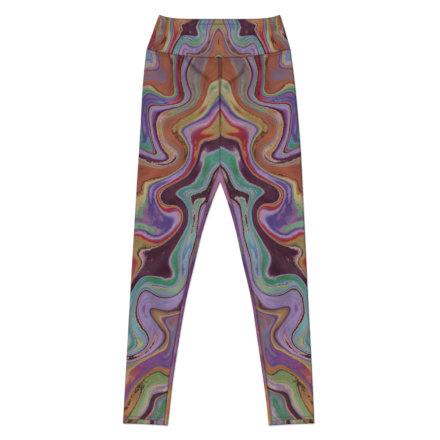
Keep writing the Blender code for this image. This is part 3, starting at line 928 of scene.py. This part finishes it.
# A piece of cloth from grids of its outer and inner faces, with a rim round all four sides. The sign of
# the volume that they close says which way the faces turn.
def clothPiece(name, node, outside, inside, cut, attributes, materials, innerPrinted=None):
    rows, columns, _ = outside.shape
    number = np.arange(rows * columns).reshape(rows, columns)
    corners = (number[:-1, :-1], number[:-1, 1:], number[1:, 1:], number[1:, :-1])
    quads = np.stack(corners, axis=2).reshape(-1, 4)
    rim = np.concatenate([number[0, :-1], number[:-1, -1], number[-1, :0:-1], number[:0:-1, 0]])
    ahead, offset = np.roll(rim, -1), rows * columns
    rimQuads = np.stack([ahead, rim, rim + offset, ahead + offset], axis=1)
    faces = np.concatenate([quads, quads[:, ::-1] + offset, rimQuads])
    points = np.concatenate([outside.reshape(-1, 3), inside.reshape(-1, 3)])
    a, b, c, d = (points[faces[:, corner]] for corner in range(4))
    if np.sum(a * (np.cross(b, c) + np.cross(c, d))) < 0.0:
        faces = faces[:, ::-1]
    slots = np.zeros(len(faces))
    if innerPrinted is not None:
        slots[len(quads):2 * len(quads)] = ~innerPrinted[:-1, :-1].ravel()
    cut = np.concatenate([cut.reshape(-1, 2)] * 2)
    attributes = {key: np.concatenate([value.ravel()] * 2) for key, value in attributes.items()}
    return newPiece(name, node, points, [faces], cut, attributes, materials, slots)


legPrint = printedKnit("legPrint")
bandPrint = printedKnit("bandPrint", printing["waistbandSize"])
undyedKnit = reverseKnit("undyedKnit")
gussetCloth = gussetKnit("gussetCloth")
print("knits and print made")


# Pattern coordinates of a leg's cut: across from the centre-front seam over the outer fold to the back
# seam, and down from the top corners
def legCut(side, level, places, points):
    half = np.abs(outerFold(level, side) - centreSeam(level))
    width = places["width"]
    turns = (places["front"] - width, -places["outer"], places["inner"] + width)
    return half + sideBySide(*turns), halfLength - points[:, :, 1]


# Place of the band that lies along the inseam on the back panel
edgeBands = table(
    ("level", "place"),
    (508, 447),
    (528, 460),
    (552, 460),
    (576, 454),
    (612, 446),
    (845, 445),
    (885, 436),
    (966, 436),
)


# Place across the bands on a leg: that of the cut, drawn to one band by a soft rise to the back's edge
def legPrintPlace(level, places, across, down):
    place = printPlace(across, down)
    near, far = legs["edgePrint"]
    onBack = softRise(places["inner"] - places["end"], -far, -near)
    onBack = onBack * softRise(level - crotch, 0.0, sideTip)
    onBand = np.interp(down, edgeBands["level"], edgeBands["place"])
    first = place.shape[1] - onBack.shape[1]
    place[:, first:] += onBack * (onBand - place)[:, first:]
    return place


# One leg from its grids. The print follows the cut, down by the leg's shift and back by the hem's jump.
def buildLeg(side):
    level = legLevels()
    places = legPlaces(side, level)
    seam, _, hem = legDistances(level, places)
    across, down = legCut(side, level, places, legSurface(side, level, places, 0.0 * seam))
    outside = legSurface(side, level, places, legOuterDepth(level, places, across))
    inside = legSurface(side, level, places, legInnerDepth(level, places))
    printDown = down + legs["printShift"][side] - legs["hemJump"] * (hem < legs["hemRows"][1])
    attributes = {
        "printPlace": legPrintPlace(level, places, across, printDown),
        "seamShade": legShade(side, level, places, outside, down),
    }
    turnedUp = np.broadcast_to(hem < turnedEnd, across.shape)
    cut = np.stack([across, down], axis=2)
    return clothPiece("leg" + side.capitalize(), "leg_" + side,
                      outside, inside, cut, attributes, [legPrint, undyedKnit], turnedUp)


legPieces = {side: buildLeg(side) for side in sides}


# Waistband

waistband = {
    "wall": 1.8,
    "fold": 2.5,
    "topDip": 10.2,
    "topBend": 6.0,
    "seamTwist": 15.0,  # how far the side seams have turned off the folds at the waist seam
    "roll": (0.8, 1.2),
    "topRow": {"half": 44.5, "below": 12.6, "fade": 4.0, "points": 60},  # the short row of stitching
    "rowDip": (0.25, 0.8),
    "waves": 0.6,  # share of the legs' slow unevenness
    # painted shade beside each line, and over what reach
    "seamShade": (0.6, 1.1),
    "waistShade": (0.8, 1.1),
    "rowShade": (0.8, 1.0),
    "rimShade": (0.6, 2.8),
    "printSize": {"front": 1.9, "back": 1.2},  # how much smaller the print is than on the legs
    "printShift": {"front": (20.0, 520.0), "back": (40.0, 576.0)},  # each is cut from its own spot of it
    "spans": 104,
    "foldSpans": 8,
    "startColumns": 5,  # from the first seam round to the front
    "flat": (0.34, 0.1),
    "area": 0.0273,
}


# A fold of the waistband, straight from its upper end to its lower one
def bandFold(down, side):
    top, low = bandFolds[side]
    return top + (low - top) * down


# How far a place of the waistband lies below the top corners: a share of the way to the waist seam from
# the top edge, which dips by a power of the share across
def bandBelowTop(x, down):
    right, left = bandFold(down, "right"), bandFold(down, "left")
    across = np.clip((2.0 * x - right - left) / (left - right), -1.0, 1.0)
    lowRight, lowLeft = bandFolds["right"][1], bandFolds["left"][1]
    xAtSeam = 0.5 * (lowRight + lowLeft + across * (lowLeft - lowRight))
    top = waistband["topDip"] * (1.0 - np.abs(across) ** waistband["topBend"])
    seam = form["bandSide"] - halfGap + waistDip(xAtSeam)
    return top + (seam - top) * down


# Top of the waistband's front layer: flat with slow waves added, rising at the folds
def bandFrontHeight(x, below, down):
    fromFold = np.minimum(x - bandFold(down, "right"), bandFold(down, "left") - x)
    flat = 2.0 * waistband["wall"] + form["layerGap"] + waistband["waves"] * laidWaves(x, below)
    return riseToFold(flat, fromFold, waistband["fold"])


# Shares of the way down the waistband for its rows, close at the top fold, the short row and the seam
def bandRows():
    height = form["bandSide"]
    byTop = (0.0, 0.06, 0.2, 0.45, 0.9, 1.6, 2.6, 4.0, 6.0, 8.2, 9.6, 10.3, 10.9, 11.5, 12.6, 14.5)
    between = np.linspace(17.5, height - 7.5, 20)
    bySeam = height - np.array((0.0, 0.3, 0.7, 1.3, 2.1, 3.2, 4.8))
    return np.unique(np.concatenate([byTop, between, bySeam]) / height)[:, None]


# Places of the columns on each row, from one side seam, near one fold, to the other, far off at the other
# fold. The seams leave the folds by the twist times the share of the way down.
def bandPlaces(down):
    fold, twist, count = waistband["fold"], waistband["seamTwist"] * down, waistband["startColumns"]
    begin, end = twist + halfGap, twist - halfGap
    start = np.maximum(np.linspace(0.0, fold, count), begin + endStep * np.arange(count))
    far = -roundToSeam(fold, waistband["foldSpans"], end)
    near = start[:, -1:] + edgeSteps[1:]
    share = np.linspace(0.0, 1.0, waistband["spans"] + 1)[1:-1]
    span = bandFold(down, "left") - bandFold(down, "right") - far[:, :1] - near[:, -1:]
    near = sideBySide(start, near, near[:, -1:] + span * share)
    return {"near": near, "far": far, "begin": begin, "end": -end}


# Points of a waistband panel at a depth under its outer face: folded cloth, with places that count the
# other way on the back panel
def bandSurface(part, down, places, depth):
    face = 1.0 if part == "front" else -1.0
    fold, right, left = waistband["fold"], bandFold(down, "right"), bandFold(down, "left")
    near, far = (right, left) if part == "front" else (left, right)
    groups = ((near, face, fold, face * places["near"]), (far, -face, fold, face * places["far"]))
    return foldedCloth(groups, depth, lambda x: bandBelowTop(x, down),
                       lambda x, below: bandFrontHeight(x, below, down))


# One panel of the waistband from its grids: a quarter round at the top fold, and bells where it turns in
# at the seams and along the short row
def buildBand(part):
    down = bandRows()
    places = bandPlaces(down)
    seam = sideBySide(places["near"] - places["begin"], places["far"] - places["end"])
    flat = bandSurface(part, down, places, 0.0 * seam)
    below = halfLength - flat[:, :, 1]
    top, waist = below - below[:1], below[-1:] - below
    row = waistband["topRow"]
    fromMiddle, fromRow = np.abs(flat[:, :, 0]), top - row["below"]
    onRow = softRise(row["half"] + row["fade"] - fromMiddle, 0.0, row["fade"]) * (part == "front")
    rounding = quarterRound(top, 0.5 * waistband["wall"])
    rolled = np.maximum(raised(seam, waistband["roll"]), raised(waist, waistband["roll"]))
    dip = raised(fromRow, waistband["rowDip"]) * onRow
    outside = bandSurface(part, down, places, rounding + rolled + dip)
    inside = bandSurface(part, down, places, waistband["wall"] - rounding)
    half = 0.5 * (bandFold(down, "left") - bandFold(down, "right"))
    across = np.where(flat[:, :, 2] > waistband["fold"], fromMiddle, 2.0 * half - fromMiddle)
    size, (right, under) = waistband["printSize"][part], waistband["printShift"][part]
    attributes = {
        "printPlace": printPlace(size * across + right, size * below + under),
        # painted shade at the side seams, the waist seam, the short row, and the top and side folds
        "seamShade": np.max([
            raised(seam, waistband["seamShade"]),
            raised(waist, waistband["waistShade"]),
            raised(fromRow, waistband["rowShade"]) * onRow,
            raised(top, waistband["rimShade"]),
            raised(fromMiddle - half, waistband["rimShade"]),
        ], axis=0),
    }
    cut = np.stack([across, below], axis=2)
    return clothPiece("waistband" + part.capitalize(), "waistband_" + part,
                      outside, inside, cut, attributes, [bandPrint])


bandPieces = {part: buildBand(part) for part in ("front", "back")}


# Gusset

gusset = {
    "seamShade": (1.0, 1.0),
    # painted shade beside the seams and at the fold, darker on the right side, whose fold faces away from
    # the lamp
    "edgeShade": {"left": (0.6, 3.4), "right": (0.9, 4.6)},
    "foldShade": {"left": (0.2, 3.0), "right": (0.5, 4.0)},
    "fan": 12,  # lines round the crotch on each side
    "rowStep": 2.2,  # between the lines below it
    "spans": 10,
    "ease": 1.6,
    "flat": (0.06, 0.14),
    "area": 0.0032,
}


# The gusset's lines over the crotch fold: fold point, front end, back end and the places of both ends.
# Round the crotch they fan out by equal angles, and below it they lie across the inner folds.
def gussetLines():
    centre = float(centreSeam(crotch))
    count = int(round((sideTip - crotchRound) / gusset["rowStep"]))
    level = np.linspace(crotch + crotchRound, crotch + sideTip, count + 1)[:, None]
    share = np.arange(gusset["fan"])[:, None] / gusset["fan"]
    turned = np.concatenate([np.sin(0.5 * np.pi * share), 1.0 - np.cos(0.5 * np.pi * share)], axis=1)
    tips = [np.array([[centre, crotch - form[tip] + form["seamGap"]]]) for tip in ("frontTip", "backTip")]
    halves = []
    for side, way in sides.items():
        fold = sideBySide(innerFold(level, side), level)
        reach, place = frontEdge(level, side) - halfGap, backEdge(level, side) + halfGap
        runs = (reach, np.maximum(np.abs(place), halfGap))
        ends = [fold + sideBySide(way * run, 0.0 * run) for run in runs]
        fanFold = np.array([centre, crotch]) + crotchRound * turned * (way, 1.0)
        fanEnds = [tip + (end[:1] - tip) * share for tip, end in zip(tips, ends)]
        fanReach, fanPlace = (np.linalg.norm(end - fanFold, axis=1, keepdims=True) for end in fanEnds)
        halves.append([np.concatenate(pair) for pair in zip(
            (fanFold, *fanEnds, fanReach, -fanPlace), (fold, *ends, reach, place))])
    return [np.concatenate([right[::-1], left[1:]]) for left, right in zip(*halves)]


# Places along each line, from the front seam to the back seam: in to the fold by a power of the share of
# the way, even round it, and out by the same power
def gussetPlaces(reach, place):
    fold, ease = legs["fold"], np.linspace(0.0, 1.0, gusset["spans"] + 1) ** gusset["ease"]
    onBack = np.where(place < -fold, place - (place + fold) * ease[::-1], -fold)
    onFront = reach - (reach - fold) * ease
    onFold = np.linspace(fold, -fold, legs["foldSpans"] + 1)[None, :]
    whole = sideBySide(onFront[:, :-1], onFold, onBack[:, 1:])
    whole[:, -1:] = place
    count = whole.shape[1]
    step = np.minimum((reach - place) / (count + 2.0), endStep)
    return np.maximum(whole, place + step * np.arange(count - 1, -1, -1))


# Points of the gusset at a depth under its outer face: each place runs out from the fold point in a
# direction that turns from the front end's to the back end's
def gussetSurface(fold, front, back, places, depth):
    run, height = roundFold(places, legs["fold"], depth)
    turn = np.clip(0.5 - 0.5 * places / legs["fold"], 0.0, 1.0)[:, :, None]
    direction = unit(unit(front - fold)[:, None] * (1.0 - turn) + unit(back - fold)[:, None] * turn)
    x, below = np.moveaxis(fold[:, None] + direction * run[:, :, None], 2, 0)
    onLeft, onRight = (legFrontHeight(x, below, below, side) for side in sides)
    top = np.where(x < centreSeam(crotch), onRight, onLeft) - depth
    z = np.where(places >= legs["fold"], top, height)
    return np.stack([x, halfLength - below, z], axis=2)


# The gusset from its grids, with bells where it turns in at the seams. Its painted shade passes from the
# right side's to the left side's by a soft rise across the crotch.
def buildGusset():
    fold, front, back, reach, place = gussetLines()
    places = gussetPlaces(reach, place)
    seam = np.minimum(places - places[:, -1:], places[:, :1] - places)
    outside = gussetSurface(fold, front, back, places, raised(seam, legs["roll"]))
    inside = gussetSurface(fold, front, back, places, legs["wall"] + 0.0 * places)
    edges, folds = gusset["edgeShade"], gusset["foldShade"]
    left, right = (np.maximum(raised(seam, edges[side]), raised(places, folds[side])) for side in sides)
    onLeft = softRise(fold[:, :1] - centreSeam(crotch), -crotchRound, crotchRound)
    shade = np.maximum(raised(seam, gusset["seamShade"]), right + (left - right) * onLeft)
    cut = np.stack([places, pathLengths(fold)[:, None] + 0.0 * places], axis=2)
    return clothPiece("gussetPanel", "gusset", outside, inside, cut, {"seamShade": shade},
                      [gussetCloth, undyedKnit], np.zeros(places.shape, dtype=bool))


gussetPiece = buildGusset()


# Stitching

stitching = {
    "pitch": 3.1,
    "length": 2.5,
    "radius": 0.27,
    "width": 1.15,  # how much wider than high a stitch is
    "taper": 0.85,
    "lift": 0.04,
    "sink": 0.3,  # of its ends
    "stations": 6,
    "around": 6,
    "reach": 0.6,  # how far to each side of its middle a stitch takes its direction
    "trim": 1.4,  # how far from a seam the rows stop
    "twist": 0.9,  # along the thread for one turn of its plies
    # painted shade between the plies
    "dark": 0.6,  # colour between the plies, as a share of the thread's
    "colour": (160, 56, 58),
}
thread = threadMaterial("coverstitchThread", linear(stitching["colour"]))


# Values at distances along a path, on straight lines between its points
def alongPath(distances, lengths, values):
    return np.stack([np.interp(distances, lengths, values[:, axis]) for axis in range(3)], axis=1)


# Stitches along paths, which are points and the outward direction at each. A stitch is a spindle: rings
# of points, thinner and lower at its ends by the fourth power of the way out.
def stitchPiece(name, paths):
    spots, ways, ups, reach = [], [], [], stitching["reach"]
    for points, outward in paths:
        lengths = pathLengths(points)
        at = np.arange(0.5 * stitching["pitch"], lengths[-1], stitching["pitch"])
        spots.append(alongPath(at, lengths, points))
        ways.append(alongPath(at + reach, lengths, points) - alongPath(at - reach, lengths, points))
        ups.append(alongPath(at, lengths, outward))
    spots, ways, ups = (np.concatenate(group) for group in (spots, ways, ups))
    ways = unit(ways)
    ups = unit(ups - ways * np.sum(ups * ways, axis=1)[:, None])
    asides = np.cross(ways, ups)
    count, rings, around = len(spots), stitching["stations"], stitching["around"]
    share = np.linspace(-1.0, 1.0, rings)[None, :, None, None]
    angle = (2.0 * np.pi * np.arange(around) / around)[None, None, :, None]
    thick = stitching["radius"] * np.sqrt(1.0 - stitching["taper"] * share**4)
    run = 0.5 * stitching["length"] * share
    out = stitching["lift"] - stitching["sink"] * share**4 + thick * np.sin(angle)
    spots, ways, ups, asides = (group[:, None, None, :] for group in (spots, ways, ups, asides))
    points = spots + ways * run + ups * out + asides * stitching["width"] * thick * np.cos(angle)
    number = np.arange(count * rings * around).reshape(count, rings, around)
    ahead = np.roll(number, -1, axis=2)
    quads = np.stack([number[:, :-1], ahead[:, :-1], ahead[:, 1:], number[:, 1:]], axis=3).reshape(-1, 4)
    caps = np.concatenate([number[:, 0, ::-1], number[:, -1, :]])
    cut = np.stack(np.broadcast_arrays(run[..., 0], angle[..., 0] / (2.0 * np.pi * mm), number)[:2], axis=3)
    cut = cut.reshape(-1, 2)
    return newPiece(name, None, points.reshape(-1, 3), [quads, caps], cut, {}, [thread])


# A path on a leg at one level, trimmed at the seams, with the outward direction from two depths
def legPath(side, level):
    level = np.array([[level]])
    places = legPlaces(side, level)
    seam = legDistances(level, places)[0]
    dip = legs["rowDip"][0] + 0.0 * seam
    face, under = (legSurface(side, level, places, depth)[0] for depth in (dip, dip + 0.5))
    keep = seam[0] > stitching["trim"]
    return face[keep], (face - under)[keep]


# The path of the short row at the waistband's top: level across the front, with up as its outward
# direction
def bandTopPath():
    row = waistband["topRow"]
    x = np.linspace(-row["half"], row["half"], row["points"])
    down = np.full_like(x, row["below"] / (form["bandSide"] + form["waistDip"] - waistband["topDip"]))
    below = bandBelowTop(x, down)
    z = bandFrontHeight(x, below, down) - waistband["rowDip"][0]
    return np.stack([x, halfLength - below, z], axis=1), np.tile([0.0, 0.0, 1.0], (row["points"], 1))


# The stitches of a leg, one piece for the twin rows at the waist seam and one for those at the hem
def buildLegStitches(side):
    rows = {
        "waist": [legTop + row for row in legs["waistRows"]],
        "hem": [form["hemSide"] - row for row in legs["hemRows"]],
    }
    return [stitchPiece(spot + "Stitches" + side.capitalize(), [legPath(side, level) for level in levels])
            for spot, levels in rows.items()]


legStitches = {side: buildLegStitches(side) for side in sides}
topStitches = stitchPiece("topStitches", [bandTopPath()])


# Floor, light and camera

studio = {
    "floorSize": 30.0,
    "floorTones": ((0.945, 0.945, 0.945, 1.0), (0.9356, 0.9356, 0.9308, 1.0)),
    "floorClouds": 3.0,
    "floorDrop": 0.0003,  # so that the cloth's underside and the floor don't share a plane
    "skyStrength": 0.76,
    "sunStrength": 2.05,
    "sunSoftness": 0.9,  # the angle it fills, in radians
    "sunFrom": (-0.36, 0.62, 0.76),
    "frameWidth": 1.034,
    "middle": (0.0033, 0.0001),
    "lens": 100.0,
    "sensor": 36.0,
    "farthest": 50.0,
    "focusHeight": 0.003,
}


# The floor: one square just under the cloth, pale, with faint cloudy noise
def buildFloor():
    half = 0.5 * studio["floorSize"]
    mesh = bpy.data.meshes.new("floor")
    corners = ((-half, -half), (half, -half), (half, half), (-half, half))
    mesh.from_pydata([(x, y, -studio["floorDrop"]) for x, y in corners], [], [(0, 1, 2, 3)])
    material, tree = newMaterial("paleFloor")
    spot = addNode(tree, "ShaderNodeTexCoord").outputs["Object"]
    cloudy = addMix(tree, addNoise(tree, spot, studio["floorClouds"]), *studio["floorTones"])
    finish = {"Base Color": cloudy, "Roughness": 0.9, "Specular IOR Level": 0.1}
    setInputs(tree, tree.nodes["Principled BSDF"], finish)
    mesh.materials.append(material)
    addToScene("floor", mesh)


# A broad far lamp, turned so that it shines on the garment's middle from a direction
def addLamp(name, direction):
    lamp = bpy.data.lights.new(name, "SUN")
    lamp.energy, lamp.angle = studio["sunStrength"], studio["sunSoftness"]
    holder = addToScene(name, lamp)
    x, y, z = holder.location = direction
    holder.rotation_euler = (np.arctan2(np.hypot(x, y), z), 0.0, np.arctan2(x, -y))


# Floor, lamp, white sky and a camera straight above, as far off as the frame's width times lens over
# sensor
def buildStudio():
    buildFloor()
    addLamp("softLamp", studio["sunFrom"])
    world = bpy.data.worlds.new("studioSky")
    world.use_nodes = True
    sky = {"Color": (1.0, 1.0, 1.0, 1.0), "Strength": studio["skyStrength"]}
    setInputs(world.node_tree, world.node_tree.nodes["Background"], sky)
    bpy.context.scene.world = world
    camera = bpy.data.cameras.new("camera")
    camera.lens, camera.sensor_width = studio["lens"], studio["sensor"]
    camera.clip_end = studio["farthest"]
    distance = studio["frameWidth"] * studio["lens"] / studio["sensor"]
    holder = addToScene("camera", camera)
    holder.location = (*studio["middle"], distance + studio["focusHeight"])
    bpy.context.scene.camera = holder
    bpy.context.scene.view_settings.view_transform = "Standard"


buildStudio()
print("studio made")
